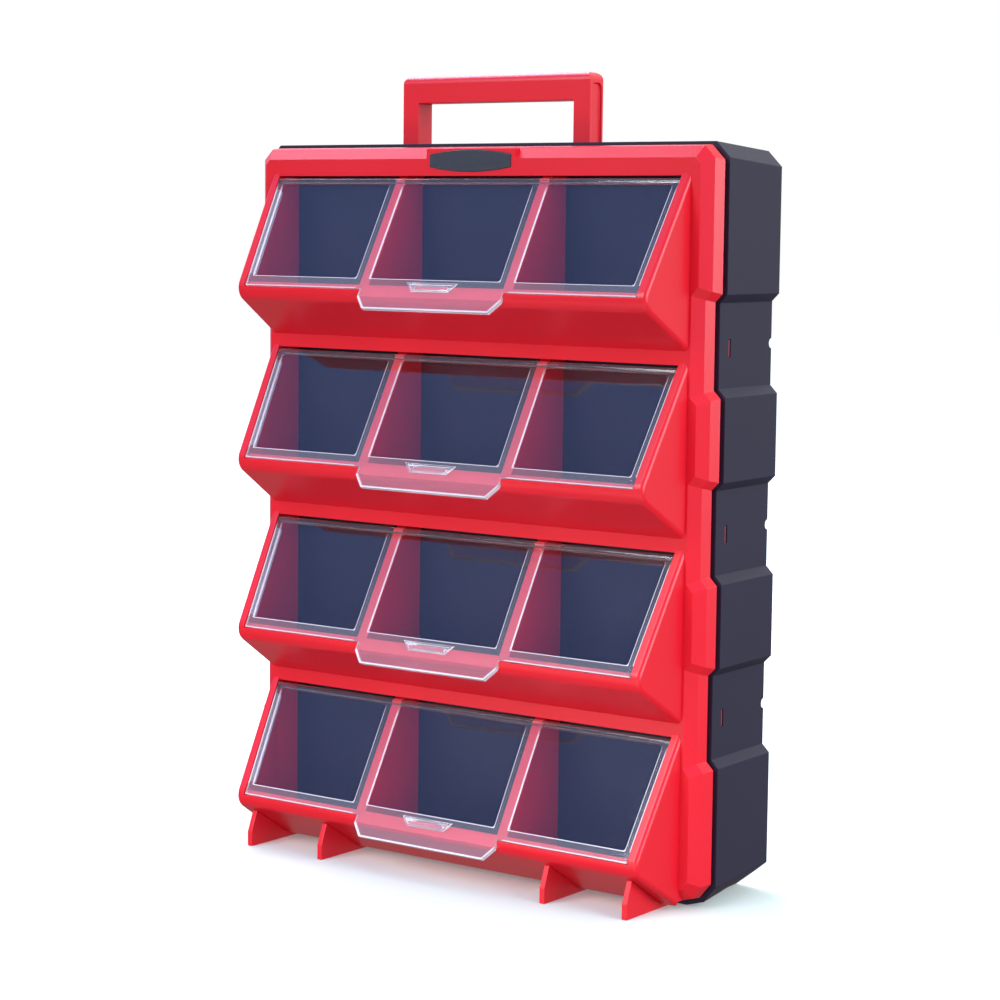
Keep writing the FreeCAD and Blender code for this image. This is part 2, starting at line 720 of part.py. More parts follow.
def make_divider(row, side, name):
    """Upright rib between two bins of a row, cored out from behind."""
    body = add_body(
        "divider_" + str(row + 1) + "_" + name,
        across=DIVIDER_PLACE * side,
        back=PANEL_PLANE,
        height=row_top(row),
    )
    inward = D["hinge_depth"] + D["hinge_radius"] + D["ledge_gap"]
    profile = [
        (BIN_BACK, -BIN_FLOOR),
        (BIN_BACK, ZERO),
        (inward / TILT_COS, ZERO),
        (-WELL_REACH, -((WELL_REACH * TILT_COS + inward) / TILT_SIN)),
        (-WELL_REACH, WELL_REACH * TILT_SIN / TILT_COS - BIN_FLOOR),
        (ZERO, -BIN_FLOOR),
    ]
    sketch = loops_sketch(body, "rib", SIDE, ZERO, profile)
    extrude(body, "Pad", sketch, D["divider_thickness"], both_ways=True)
    core_side = D["divider_thickness"] / 2 - D["divider_wall"]
    core_top = -(inward / TILT_SIN + D["divider_wall"])
    core_loop = rectangle(-core_side, core_side, D["divider_wall"] - BIN_FLOOR, core_top)
    core = loops_sketch(body, "core", FRONT, BIN_BACK, core_loop)
    extrude(body, "Pocket", core, BIN_BACK, backward=True)
    return body


def lid_half_width(along):
    """Half the lid's width so far down its slope, clear of the cheeks."""
    depth = along * TILT_SIN
    return opening_half_width(depth) - D["lid_gap"]


def down(along):
    """Height in the lid's own frame, whose origin is on the hinge axis."""
    return D["hinge_drop"] - along


def window_loops():
    """The lid's three sunk windows."""
    window_end = LID_END - D["window_end_margin"]
    top = down(D["window_start"])
    low = down(window_end)
    inner = DIVIDER_PLACE - D["mullion_half_width"]
    side = DIVIDER_PLACE + D["mullion_half_width"]
    top_side = lid_half_width(D["window_start"]) - D["window_side_margin"]
    low_side = lid_half_width(window_end) - D["window_side_margin"]
    right = [(side, low), (low_side, low), (top_side, top), (side, top)]
    left = [(-x, y) for x, y in reversed(right)]
    return rectangle(-inner, inner, low, top), right, left


def make_lid(row):
    """Clear lid: plate with sunk windows, side flanges, tab with latch slot, hinge bar with pins."""
    across, height = slope_point(D["hinge_drop"], D["hinge_depth"])
    body = add_body("lid_" + str(row + 1), back=PANEL_PLANE + across, height=row_top(row) + height)
    body.Placement.Rotation = FreeCAD.Rotation(FreeCAD.Vector(-1, 0, 0), D["lid_tilt"].value)
    body.setExpression("Placement.Rotation.Angle", D["lid_tilt"].text)
    plate = mirrored([
        (D["tab_half_width"] - D["tab_corner_width"], down(TAB_END)),
        (D["tab_half_width"], down(TAB_END - D["tab_corner_length"])),
        (D["tab_half_width"], down(LID_END)),
        (lid_half_width(LID_END), down(LID_END)),
        (lid_half_width(D["hinge_drop"]), ZERO),
    ])
    inside = D["lid_thickness"] - D["hinge_depth"]
    outside = -D["hinge_depth"]
    sketch = loops_sketch(body, "plate", FRONT, inside, plate)
    extrude(body, "Pad", sketch, D["lid_thickness"])
    windows = loops_sketch(body, "windows", FRONT, outside, *window_loops())
    extrude(body, "Pocket", windows, D["window_sink"])

    def on_window_corner(edge, middle):
        return near(edge.Length, D["window_sink"])

    round_edges(body, "window_corners", D["window_round"], on_window_corner)
    flange_end = LID_END - D["flange_end_margin"]
    top_edge = lid_half_width(D["flange_start"])
    low_edge = lid_half_width(flange_end)
    flange_loop = [
        (low_edge - D["flange_thickness"], down(flange_end)),
        (low_edge, down(flange_end)),
        (top_edge, down(D["flange_start"])),
        (top_edge - D["flange_thickness"], down(D["flange_start"])),
    ]
    flange_loops = [[(x * sign, y) for x, y in flange_loop] for sign in (1, -1)]
    flanges = loops_sketch(body, "flanges", FRONT, inside + D["flange_depth"], *flange_loops)
    extrude(body, "Pad", flanges, D["flange_depth"])
    bar = add_sketch(body, "bar", SIDE, ZERO)
    add_circle(bar, (ZERO, ZERO), D["hinge_radius"])
    extrude(body, "Pad", bar, (OPENING_HALF_WIDTH + D["pin_reach"]) * 2, both_ways=True)
    slot_side = D["slot_half_width"]
    slot_loop = rectangle(-slot_side, slot_side, down(SLOT_END), down(SLOT_START))
    slot = loops_sketch(body, "slot", FRONT, outside, slot_loop)
    extrude(body, "Pocket", slot, D["lid_thickness"] + D["overrun"])
    return body


def make_handle():
    """U-shaped carry handle whose legs slide in the case's sleeves and end in stops."""
    front = CASE_FRONT + D["handle_setback"]
    body = add_body("carry_handle", back=front)
    grip_low = D["case_height"] + D["handle_gap"]
    grip_top = grip_low + D["grip_height"]
    leg_foot = D["case_height"] - D["case_wall"] - D["sleeve_length"] - D["fit_gap"]
    stop_foot = leg_foot - D["stop_height"]
    inner, outer = leg_span(ZERO)
    stop_inner, stop_outer = leg_span(D["stop_flare"])
    right = [
        (inner, grip_low),
        (inner, leg_foot),
        (stop_inner, leg_foot),
        (stop_inner, stop_foot),
        (stop_outer, stop_foot),
        (stop_outer, leg_foot),
        (outer, leg_foot),
        (outer, grip_top),
    ]
    left = [(-x, y) for x, y in reversed(right)]
    sketch = loops_sketch(body, "loop", FRONT, ZERO, right + left)
    extrude(body, "Pad", sketch, D["handle_depth"], backward=True)

    def on_grip(edge, middle):
        return near(middle.z, grip_top)

    round_edges(body, "grip", D["grip_round"], on_grip)
    add_leg_recesses(body, leg_foot, grip_top - D["grip_round"] - D["leg_recess_rim"])
    return body


def add_leg_recesses(body, low, high):
    """Shallow arched recesses in the outer faces of the handle's legs."""
    front = D["leg_recess_rim"]
    back = D["handle_depth"] - D["leg_recess_rim"]
    for sign, name in ((1, "right"), (-1, "left")):
        loop = rectangle(front, back, low, high)
        sketch = loops_sketch(body, "recess_" + name, SIDE, D["handle_half_width"] * sign, loop)
        extrude(body, "Pocket", sketch, D["leg_recess_depth"], backward=sign < 0)

    def on_arch(edge, middle):
        return near(edge.Length, D["leg_recess_depth"]) and near(middle.z, high)

    round_edges(body, "arches", D["leg_recess_arch"], on_arch)


def make_foot(place, name):
    """Thin fin under the lowest row that stands on the floor in front of the case."""
    body = add_body("foot_" + name, across=place, back=PANEL_PLANE)
    under = row_top(ROW_COUNT - 1) - UNDERSIDE
    nose_height = slope_point(BIN_REACH, -D["cheek_proud"])[1]
    rise = (UNDERSIDE + nose_height) / BIN_FRONT
    toe_reach = BIN_FRONT - D["foot_setback"]
    shoulder_reach = toe_reach - D["foot_lean"]
    heel = CASE_SETBACK - D["fit_gap"]
    profile = [
        (heel, ZERO),
        (heel, under),
        (ZERO, under),
        (-shoulder_reach, under + shoulder_reach * rise),
        (-toe_reach, D["foot_toe"]),
        (-toe_reach, ZERO),
    ]
    sketch = loops_sketch(body, "fin", SIDE, ZERO, profile)
    extrude(body, "Pad", sketch, D["foot_thickness"], both_ways=True)
    return body


def make_all():
    """Every piece of the organizer."""
    bodies = [make_rear_case(), make_back_wall(), make_front_panel(), make_badge_plate(), make_handle()]
    for row in range(ROW_COUNT):
        bodies.append(make_bin_row(row))
        bodies.append(make_lid(row))
        for side, name in ((-1, "left"), (1, "right")):
            bodies.append(make_divider(row, side, name))
    outer = BIN_HALF_WIDTH - D["foot_side_margin"]
    for place, where in ((outer, "outer"), (outer - D["foot_spacing"], "inner")):
        bodies.append(make_foot(-place, where + "_left"))
        bodies.append(make_foot(place, where + "_right"))
    return bodies


def check(bodies):
    """Stops before anything is written if a feature failed or a piece is not one valid solid."""
    for item in doc.Objects:
        if "Invalid" in item.State or "Error" in item.State:
            raise RuntimeError(item.Name + " failed: " + str(item.State))
    for body in bodies:
        shape = body.Shape
        if shape.isNull() or not shape.isValid() or len(shape.Solids) != 1:
            raise RuntimeError(body.Label + " is not one valid solid")


def main():
    bodies = make_all()
    doc.recompute()
    check(bodies)
    os.makedirs("parts", exist_ok=True)
    for body in bodies:
        body.Shape.exportStep("parts/" + body.Label + ".step")
        print(body.Label, round(body.Shape.Volume), body.Shape.BoundBox)


main()
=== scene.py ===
# %% [markdown]
# # A parts organizer, dressed for its portrait
# The imported model is a fixed frame: every CAD piece already sits in its place, in metres, and moves
# with its own body. We load it first. The finished picture model has to keep to the same size.

# %% Load the frame
import bpy
import json
import math
from mathutils import Matrix, Vector


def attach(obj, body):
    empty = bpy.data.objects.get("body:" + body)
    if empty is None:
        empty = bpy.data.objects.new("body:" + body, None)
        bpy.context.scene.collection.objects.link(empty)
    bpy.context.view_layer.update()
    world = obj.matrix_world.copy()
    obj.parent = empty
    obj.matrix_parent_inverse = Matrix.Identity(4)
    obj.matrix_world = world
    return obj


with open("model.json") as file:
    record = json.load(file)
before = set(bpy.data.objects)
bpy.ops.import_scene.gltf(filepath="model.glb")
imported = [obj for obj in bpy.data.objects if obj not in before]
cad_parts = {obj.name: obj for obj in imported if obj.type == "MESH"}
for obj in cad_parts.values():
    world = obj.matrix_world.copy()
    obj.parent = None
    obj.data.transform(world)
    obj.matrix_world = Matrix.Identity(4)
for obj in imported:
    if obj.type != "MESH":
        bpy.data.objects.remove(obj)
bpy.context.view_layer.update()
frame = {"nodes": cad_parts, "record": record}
nodes = frame["nodes"]
print("CAD pieces:", len(nodes))

# %% [markdown]
# ## Camera
# The photograph was taken from the right and a little above, with a long lens. A camera could be
# aimed at the object by a constraint, but a constraint leaves no room for its small roll. So its axes
# are worked out from yaw, pitch and roll, and each of the three can be read and changed by itself.

# %% Camera
MM = 0.001
CAMERA_PLACE_MM = Vector((819.3, -1129.5, 343.6))
CAMERA_YAW = math.radians(36.2)
CAMERA_PITCH = math.radians(6.09)
CAMERA_ROLL = math.radians(0.64)
CAMERA_LENS_MM = 94.11
CAMERA_SENSOR_MM = 36.0
CAMERA_REACH = 50.0


def camera_axes(yaw, pitch, roll):
    """Columns for the camera's right, up and backward axes."""
    level = math.cos(pitch)
    forward = Vector((-math.sin(yaw) * level, math.cos(yaw) * level, -math.sin(pitch)))
    right = Vector((math.cos(yaw), math.sin(yaw), 0.0))
    up = right.cross(forward)
    rolled_right = right * math.cos(roll) + up * math.sin(roll)
    rolled_up = up * math.cos(roll) - right * math.sin(roll)
    return Matrix((rolled_right, rolled_up, -forward)).transposed()


bpy.ops.object.select_all(action="DESELECT")
bpy.ops.object.camera_add()
camera = bpy.context.object
camera.name = "portrait_camera"
turn = camera_axes(CAMERA_YAW, CAMERA_PITCH, CAMERA_ROLL)
camera.matrix_world = Matrix.Translation(CAMERA_PLACE_MM * MM) @ turn.to_4x4()
camera.data.sensor_width = CAMERA_SENSOR_MM
camera.data.lens = CAMERA_LENS_MM
camera.data.clip_end = CAMERA_REACH
bpy.context.scene.camera = camera
print("camera at", [round(value, 3) for value in camera.location])

# %% [markdown]
# ## Colours and nodes
# Colours are picked on a screen as sRGB hex values, but shaders calculate in linear light, so one
# function turns one into the other. A second small function adds a shader node, fills in its settings
# and links its inputs. Every material below is written with it, so that its code reads as a list of
# what goes into what.

# %% Helpers for materials


def linear(hex_code):
    """Linear colour with full alpha from an sRGB hex value such as C81E2A."""
    channels = [int(hex_code[start:start + 2], 16) / 255 for start in (0, 2, 4)]
    curve = [c / 12.92 if c <= 0.04045 else ((c + 0.055) / 1.055) ** 2.4 for c in channels]
    return (*curve, 1.0)


def add_node(owner, kind, settings=None, links=None):
    """Adds a node to a material or world, sets its properties and inputs, and links its inputs.

    Inputs go by name or by number. A link comes from a node's first output, or from the output
    that a (node, output) pair names.
    """
    tree = owner.node_tree
    node = tree.nodes.new(kind)
    for name, value in (settings or {}).items():
        if isinstance(name, int) or name in node.inputs:
            node.inputs[name].default_value = value
        else:
            setattr(node, name, value)
    for name, source in (links or {}).items():
        giver, output = source if isinstance(source, tuple) else (source, 0)
        tree.links.new(giver.outputs[output], node.inputs[name])
    return node


def new_material(name):
    """An empty node material."""
    material = bpy.data.materials.new(name)
    material.use_nodes = True
    material.node_tree.nodes.clear()
    return material


def per_metre(size_mm):
    """Noise scale that gives features of about this size on Object coordinates."""
    return 1000.0 / size_mm


print("screen grey 808080 in linear light:", round(linear("808080")[0], 3))

# %% [markdown]
# ## Floor
# The organizer stands on a white sweep with only a soft contact shadow. A plain white sheet would
# throw so much light back up that the reds wash out. So the camera sees the sheet, but rays that
# bounce off the object do not, and the surround below gives a measured bounce instead. The sheet has
# a painted glow that grows with the distance from the object: it lets the sheet fade into the white
# behind it, and near the object, where it is weak, it paints a darker contact shade. A trace of green
# in its colour keeps the red object's light from turning its shadow pink.

# %% Floor
FLOOR_SIZE = 12.0
FLOOR_CLOUD_MM = 400.0
GLOW_NEAR = 0.2
GLOW_FAR = 0.75
bpy.ops.mesh.primitive_plane_add(size=FLOOR_SIZE, location=(0.0, 0.0, 0.0))
floor = bpy.context.object
floor.name = "studio_floor"
sweep = new_material("white_sweep_with_painted_glow")
place = add_node(sweep, "ShaderNodeTexCoord")
cloud = add_node(
    sweep, "ShaderNodeTexNoise", {"Scale": per_metre(FLOOR_CLOUD_MM), "Detail": 2.0},
    {"Vector": (place, "Object")},
)
tone = add_node(
    sweep, "ShaderNodeMix", {"data_type": "RGBA", "A": linear("D6E7E0"), "B": linear("DAEBE4")},
    {"Factor": cloud},
)
distance = add_node(sweep, "ShaderNodeVectorMath", {"operation": "LENGTH"}, {0: (place, "Object")})
# Painted glow: weakest near the object, which paints a darker contact shade round it, and strongest
# far away, where the sheet melts into the white backdrop.
painted_glow_dim_near_object = add_node(
    sweep, "ShaderNodeMapRange",
    {"From Min": GLOW_NEAR, "From Max": GLOW_FAR, "To Min": 0.15, "To Max": 0.5},
    {"Value": (distance, "Value")},
)
sweep_skin = add_node(
    sweep, "ShaderNodeBsdfPrincipled",
    {"Roughness": 0.9, "Specular IOR Level": 0.0, "Emission Color": linear("FFFFFF")},
    {"Base Color": (tone, "Result"), "Emission Strength": painted_glow_dim_near_object},
)
add_node(sweep, "ShaderNodeOutputMaterial", None, {"Surface": sweep_skin})
floor.data.materials.append(sweep)
floor.visible_diffuse = False
floor.visible_glossy = False
floor.visible_transmission = False
print("floor", floor.name, FLOOR_SIZE, "m wide")

# %% [markdown]
# ## Light: the surround
# In the photograph, facets that look right or up are brightest, front faces are a full red, undersides
# fall into shade, and the lids carry a thin bluish veil. A picture of a studio could light this, but a
# gradient along one slanted direction is enough: a dim front, a blue band above the camera that the
# lids mirror, and a bright back.

# %% Surround: gradient
BRIGHT_SIDE = Vector((0.12, 0.78, 0.62)).normalized()
SKY_STOPS = (
    (0.0, "7C7E88"),
    (0.28, "787A86"),
    (0.40, "7088CC"),
    (0.54, "748CD0"),
    (0.74, "D4D6E0"),
    (1.0, "FFFFFF"),
)
world = bpy.data.worlds.new("slanted_surround")
world.use_nodes = True
world.node_tree.nodes.clear()
sky_place = add_node(world, "ShaderNodeTexCoord")
sky_slant = add_node(
    world, "ShaderNodeVectorMath", {"operation": "DOT_PRODUCT", 1: BRIGHT_SIDE},
    {0: (sky_place, "Generated")},
)
sky_share = add_node(
    world, "ShaderNodeMapRange", {"From Min": -1.0, "From Max": 1.0}, {"Value": (sky_slant, "Value")}
)
sky_ramp = add_node(world, "ShaderNodeValToRGB", None, {"Fac": sky_share})
stops = sky_ramp.color_ramp.elements
for position, _ in SKY_STOPS[1:-1]:
    stops.new(position)
for stop, (_, hex_code) in zip(stops, SKY_STOPS):
    stop.color = linear(hex_code)
print("surround", world.name, "with", len(stops), "stops")

# %% [markdown]
# ### Ground and backdrop
# Below the horizon a dim, slightly warm ground takes the gradient's place and gives the bounce that
# the floor does not. The surround lights the object, but it would look grey behind it. So a Light
# Path node shows the camera a plain white backdrop instead.

# %% Surround: ground and backdrop
GROUND_TONE = "7C7678"
GROUND_TOP = -0.2
SKY_FOOT = 0.05
SURROUND_STRENGTH = 1.35
sky_parts = add_node(world, "ShaderNodeSeparateXYZ", None, {"Vector": (sky_place, "Generated")})
above_ground = add_node(
    world, "ShaderNodeMapRange", {"From Min": GROUND_TOP, "From Max": SKY_FOOT},
    {"Value": (sky_parts, "Z")},
)
sky_and_ground = add_node(
    world, "ShaderNodeMix", {"data_type": "RGBA", "A": linear(GROUND_TONE)},
    {"Factor": above_ground, "B": sky_ramp},
)
surround = add_node(
    world, "ShaderNodeBackground", {"Strength": SURROUND_STRENGTH},
    {"Color": (sky_and_ground, "Result")},
)
backdrop = add_node(world, "ShaderNodeBackground", {"Color": linear("FFFFFF"), "Strength": 1.0})
ray = add_node(world, "ShaderNodeLightPath")
seen = add_node(
    world, "ShaderNodeMixShader", None, {0: (ray, "Is Camera Ray"), 1: surround, 2: backdrop}
)
add_node(world, "ShaderNodeOutputWorld", None, {"Surface": seen})
bpy.context.scene.world = world
bpy.context.scene.view_settings.view_transform = "Standard"
print("surround nodes:", len(world.node_tree.nodes))

# %% [markdown]
# ## Light: four soft lamps
# Large area lamps give soft-edged shade, as studio softboxes do. One far to the right models the
# facets that look that way, a weaker one fills the front, and one behind, of a faint lilac, draws the
# pale line along the top rim. Undersides would still go too dark, so a small card in front of the feet
# throws light up at them. It is hidden from the camera and from reflections.

# %% Soft lamps


def add_softbox(name, place, aim, width, height, watts):
    """A rectangular soft light at a place in metres, turned to face a point."""
    bpy.ops.object.light_add(type="AREA", location=place)
    lamp = bpy.context.object
    lamp.name = name
    lamp.data.shape = "RECTANGLE"
    lamp.data.size = width
    lamp.data.size_y = height
    lamp.data.energy = watts
    direction = Vector(aim) - Vector(place)
    lamp.rotation_euler = direction.to_track_quat("-Z", "Y").to_euler()
    return lamp


MIDDLE = (0.0, 0.0, 0.2)
TOP_RIM = (0.0, 0.0, 0.38)
LOW_FRONT = (0.0, -0.05, 0.14)
add_softbox("key_right", (2.2, -0.1, 0.9), MIDDLE, width=1.4, height=1.4, watts=36.0)
add_softbox("front_fill", (-0.5, -1.7, 1.25), MIDDLE, width=1.2, height=0.8, watts=24.0)
rim_light = add_softbox("top_rim", (-1.1, 0.6, 1.6), TOP_RIM, width=1.4, height=0.8, watts=30.0)
rim_light.data.color = linear("F2DEFF")[:3]
bounce_card = add_softbox(
    "bounce_card", (0.05, -0.36, 0.02), LOW_FRONT, width=0.7, height=0.2, watts=1.3
)
bounce_card.visible_camera = False
bounce_card.visible_glossy = False

# %% [markdown]
# ## Red moulded plastic
# The front, bins, feet and handle are moulded ABS. Out of a polished mould it is a clear strong red
# with a satin gloss. Close up its skin has a faint grain, and the colour drifts a little where the
# melt flowed. One flat colour would look like paint, so two close reds are mixed by a slow noise,
# which also varies the polish. The grain is about a quarter of a millimetre. It is drawn twice as
# coarse here, or it would not show.

# %% Red plastic
RED_FLOW_MM = 60.0
RED_GRAIN_MM = 0.5
red = new_material("red_moulded_abs")
place = add_node(red, "ShaderNodeTexCoord")
flow = add_node(
    red, "ShaderNodeTexNoise", {"Scale": per_metre(RED_FLOW_MM), "Detail": 2.0},
    {"Vector": (place, "Object")},
)
tone = add_node(
    red, "ShaderNodeMix", {"data_type": "RGBA", "A": linear("DA1024"), "B": linear("E01428")},
    {"Factor": flow},
)
grain = add_node(
    red, "ShaderNodeTexNoise", {"Scale": per_metre(RED_GRAIN_MM), "Detail": 3.0},
    {"Vector": (place, "Object")},
)
polish = add_node(red, "ShaderNodeMapRange", {"To Min": 0.30, "To Max": 0.38}, {"Value": flow})
skin = add_node(red, "ShaderNodeBump", {"Strength": 0.05, "Distance": 0.05 * MM}, {"Height": grain})
red_skin = add_node(
    red, "ShaderNodeBsdfPrincipled", {"IOR": 1.53},
    {"Base Color": (tone, "Result"), "Roughness": polish, "Normal": skin},
)
add_node(red, "ShaderNodeOutputMaterial", None, {"Surface": red_skin})
print("material", red.name)

# %% [markdown]
# ## Grey moulded plastic
# The rear case is polypropylene from a spark-eroded mould: dull, slightly bluish dark grey, with a
# fine even pebble a little under a millimetre across that breaks up any reflection. The pebble could
# be real geometry, but it is far too fine for a mesh, so it is bump and roughness in the material.

# %% Grey plastic
GREY_FLOW_MM = 80.0
PEBBLE_MM = 0.8
grey = new_material("grey_spark_textured_polypropylene")
place = add_node(grey, "ShaderNodeTexCoord")
flow = add_node(
    grey, "ShaderNodeTexNoise", {"Scale": per_metre(GREY_FLOW_MM), "Detail": 2.0},
    {"Vector": (place, "Object")},
)
tone = add_node(
    grey, "ShaderNodeMix", {"data_type": "RGBA", "A": linear("1E1C30"), "B": linear("222136")},
    {"Factor": flow},
)
pebble = add_node(
    grey, "ShaderNodeTexNoise", {"Scale": per_metre(PEBBLE_MM), "Detail": 2.0},
    {"Vector": (place, "Object")},
)
dullness = add_node(grey, "ShaderNodeMapRange", {"To Min": 0.48, "To Max": 0.62}, {"Value": pebble})
skin = add_node(grey, "ShaderNodeBump", {"Strength": 0.25, "Distance": 0.1 * MM}, {"Height": pebble})
grey_skin = add_node(
    grey, "ShaderNodeBsdfPrincipled", {"IOR": 1.49, "Specular IOR Level": 0.36},
    {"Base Color": (tone, "Result"), "Roughness": dullness, "Normal": skin},
)
add_node(grey, "ShaderNodeOutputMaterial", None, {"Surface": grey_skin})
print("material", grey.name)

# %% [markdown]
# ## Dark wall behind the bins
# The flat wall that is seen through the lids is the same kind of plastic in a blue that is nearly
# black. Its mould was smoother than the case's, so it has much less pebble, and its sheen is faint and
# even. It gets a material of its own, because the case's would look too grey and too rough behind
# clear plastic.

# %% Dark wall
WALL_FLOW_MM = 50.0
navy = new_material("dark_blue_grey_polypropylene")
place = add_node(navy, "ShaderNodeTexCoord")
flow = add_node(
    navy, "ShaderNodeTexNoise", {"Scale": per_metre(WALL_FLOW_MM), "Detail": 2.0},
    {"Vector": (place, "Object")},
)
tone = add_node(
    navy, "ShaderNodeMix", {"data_type": "RGBA", "A": linear("131522"), "B": linear("171928")},
    {"Factor": flow},
)
pebble = add_node(
    navy, "ShaderNodeTexNoise", {"Scale": per_metre(PEBBLE_MM), "Detail": 2.0},
    {"Vector": (place, "Object")},
)
dullness = add_node(navy, "ShaderNodeMapRange", {"To Min": 0.45, "To Max": 0.55}, {"Value": flow})
skin = add_node(navy, "ShaderNodeBump", {"Strength": 0.04, "Distance": 0.1 * MM}, {"Height": pebble})
navy_skin = add_node(
    navy, "ShaderNodeBsdfPrincipled", {"IOR": 1.49, "Specular IOR Level": 0.25},
    {"Base Color": (tone, "Result"), "Roughness": dullness, "Normal": skin},
)
add_node(navy, "ShaderNodeOutputMaterial", None, {"Surface": navy_skin})
print("material", navy.name)

# %% [markdown]
# ## Clear lids
# The lids are polystyrene from a polished mould, glass-clear and stiff. Three things give such a lid
# away: windows that nearly vanish, a faint haze on the frame around them, and edges that shine white,
# because light that enters the sheet travels inside it and leaves at its rims. Plain glass with few
# bounces would show little of this light, so the white at the rims and window borders is a painted
# highlight: the material is told where these places are and turns the plastic white there. They all
# follow from the hinges: the four lids are alike, and repeat at even steps along their normal and down
# their slope.

# %% Places on a lid
LID_TILT = math.radians(29.45)
LID_NORMAL = Vector((0.0, -math.cos(LID_TILT), math.sin(LID_TILT)))
DOWN_SLOPE = Vector((0.0, -math.sin(LID_TILT), -math.cos(LID_TILT)))
HINGE_DEPTH = 1.6 * MM
HINGE_DROP = 2.6 * MM
joints = frame["record"]["behaviour"]["joints"]
hinges = {joint["child"]: Vector(joint["pos_m"]) for joint in joints if joint["type"] == "hinge"}
face_level = hinges["lid_1"].dot(LID_NORMAL) + HINGE_DEPTH
row_step = (hinges["lid_1"] - hinges["lid_2"]).dot(LID_NORMAL)
top_edge = hinges["lid_1"].dot(DOWN_SLOPE) - HINGE_DROP
slope_step = (hinges["lid_2"] - hinges["lid_1"]).dot(DOWN_SLOPE)
print("lid faces lie", round(row_step / MM, 2), "mm apart along their normal")
print("and", round(slope_step / MM, 2), "mm apart down the slope")

# %% [markdown]
# ### Edges: a painted highlight
# A surface is an edge where its normal leans away from the lid's own, and there the material paints
# the plastic white as a highlight. A mask could be painted on each lid, but reading the normal serves
# all four at once. It stays right when a lid swings open, because the Normal and Object outputs of
# Texture Coordinate turn with the lid. A very slow wave in the skin keeps reflections from looking
# like a perfect mirror's.

# %% Clear plastic: edges
# Most of the lid's nodes do maths, so their type gets a short name.
MATHS = "ShaderNodeMath"
WAVE_MM = 25.0
EDGE_HIGHLIGHT_STARTS = 0.98
EDGE_HIGHLIGHT_FULL = 0.7
clear = new_material("clear_moulded_polystyrene")
place = add_node(clear, "ShaderNodeTexCoord")
wave = add_node(
    clear, "ShaderNodeTexNoise", {"Scale": per_metre(WAVE_MM), "Detail": 1.0},
    {"Vector": (place, "Object")},
)
skin = add_node(clear, "ShaderNodeBump", {"Strength": 0.02, "Distance": 0.2 * MM}, {"Height": wave})
facing = add_node(
    clear, "ShaderNodeVectorMath", {"operation": "DOT_PRODUCT", 1: LID_NORMAL},
    {0: (place, "Normal")},
)
flatness = add_node(clear, MATHS, {"operation": "ABSOLUTE"}, {0: (facing, "Value")})
# Painted highlight: the plastic is whitened where the surface is an edge of the sheet.
painted_edge_highlight = add_node(
    clear, "ShaderNodeMapRange",
    {"interpolation_type": "SMOOTHSTEP", "From Min": EDGE_HIGHLIGHT_STARTS, "From Max": EDGE_HIGHLIGHT_FULL},
    {"Value": flatness},
)
print("lid shader nodes for edges:", len(clear.node_tree.nodes))

# %% [markdown]
# ### Frame and windows
# The outer face of a lid is frame where it lies at full height, and window where it is sunk. So the
# depth below the outer face tells them apart, and wrapping it at the step from lid to lid gives the
# same depth on all four. In the same way, the distance from the upper edge repeats down the slope. The
# frame's haze grows a little with it.

# %% Clear plastic: frame and haze
WINDOW_SINK = 0.6 * MM
FRAME_ENDS = 0.2 * WINDOW_SINK
WINDOW_STARTS = 0.8 * WINDOW_SINK
LID_END = 67.5 * MM
level = add_node(
    clear, "ShaderNodeVectorMath", {"operation": "DOT_PRODUCT", 1: LID_NORMAL},
    {0: (place, "Object")},
)
above_face = add_node(clear, MATHS, {"operation": "SUBTRACT", 1: face_level}, {0: (level, "Value")})
depth = add_node(
    clear, MATHS, {"operation": "WRAP", 1: row_step / 2, 2: -row_step / 2}, {0: above_face}
)
frame_share = add_node(
    clear, "ShaderNodeMapRange",
    {"interpolation_type": "SMOOTHSTEP", "From Min": -WINDOW_STARTS, "From Max": -FRAME_ENDS},
    {"Value": depth},
)
along = add_node(
    clear, "ShaderNodeVectorMath", {"operation": "DOT_PRODUCT", 1: DOWN_SLOPE},
    {0: (place, "Object")},
)
below_top = add_node(clear, MATHS, {"operation": "SUBTRACT", 1: top_edge}, {0: (along, "Value")})
down_lid = add_node(clear, MATHS, {"operation": "FLOORED_MODULO", 1: slope_step}, {0: below_top})
haze = add_node(
    clear, "ShaderNodeMapRange",
    {"From Min": 0.0, "From Max": LID_END, "To Min": 0.03, "To Max": 0.11}, {"Value": down_lid},
)
hazy = add_node(clear, MATHS, {"operation": "MULTIPLY"}, {0: frame_share, 1: haze})
print("lid shader nodes with frame and haze:", len(clear.node_tree.nodes))

# %% [markdown]
# ### The tab's painted white rim
# The finger tab shows a white line of light along its front and its two cut corners, and it is a
# painted highlight here. The edge highlight alone would leave only a hair of white there, so a strip
# of the tab's face is added to it: all that lies within one millimetre of the front edge or of a
# corner's slanted edge. The lid is symmetric, so the absolute value of X serves both corners.

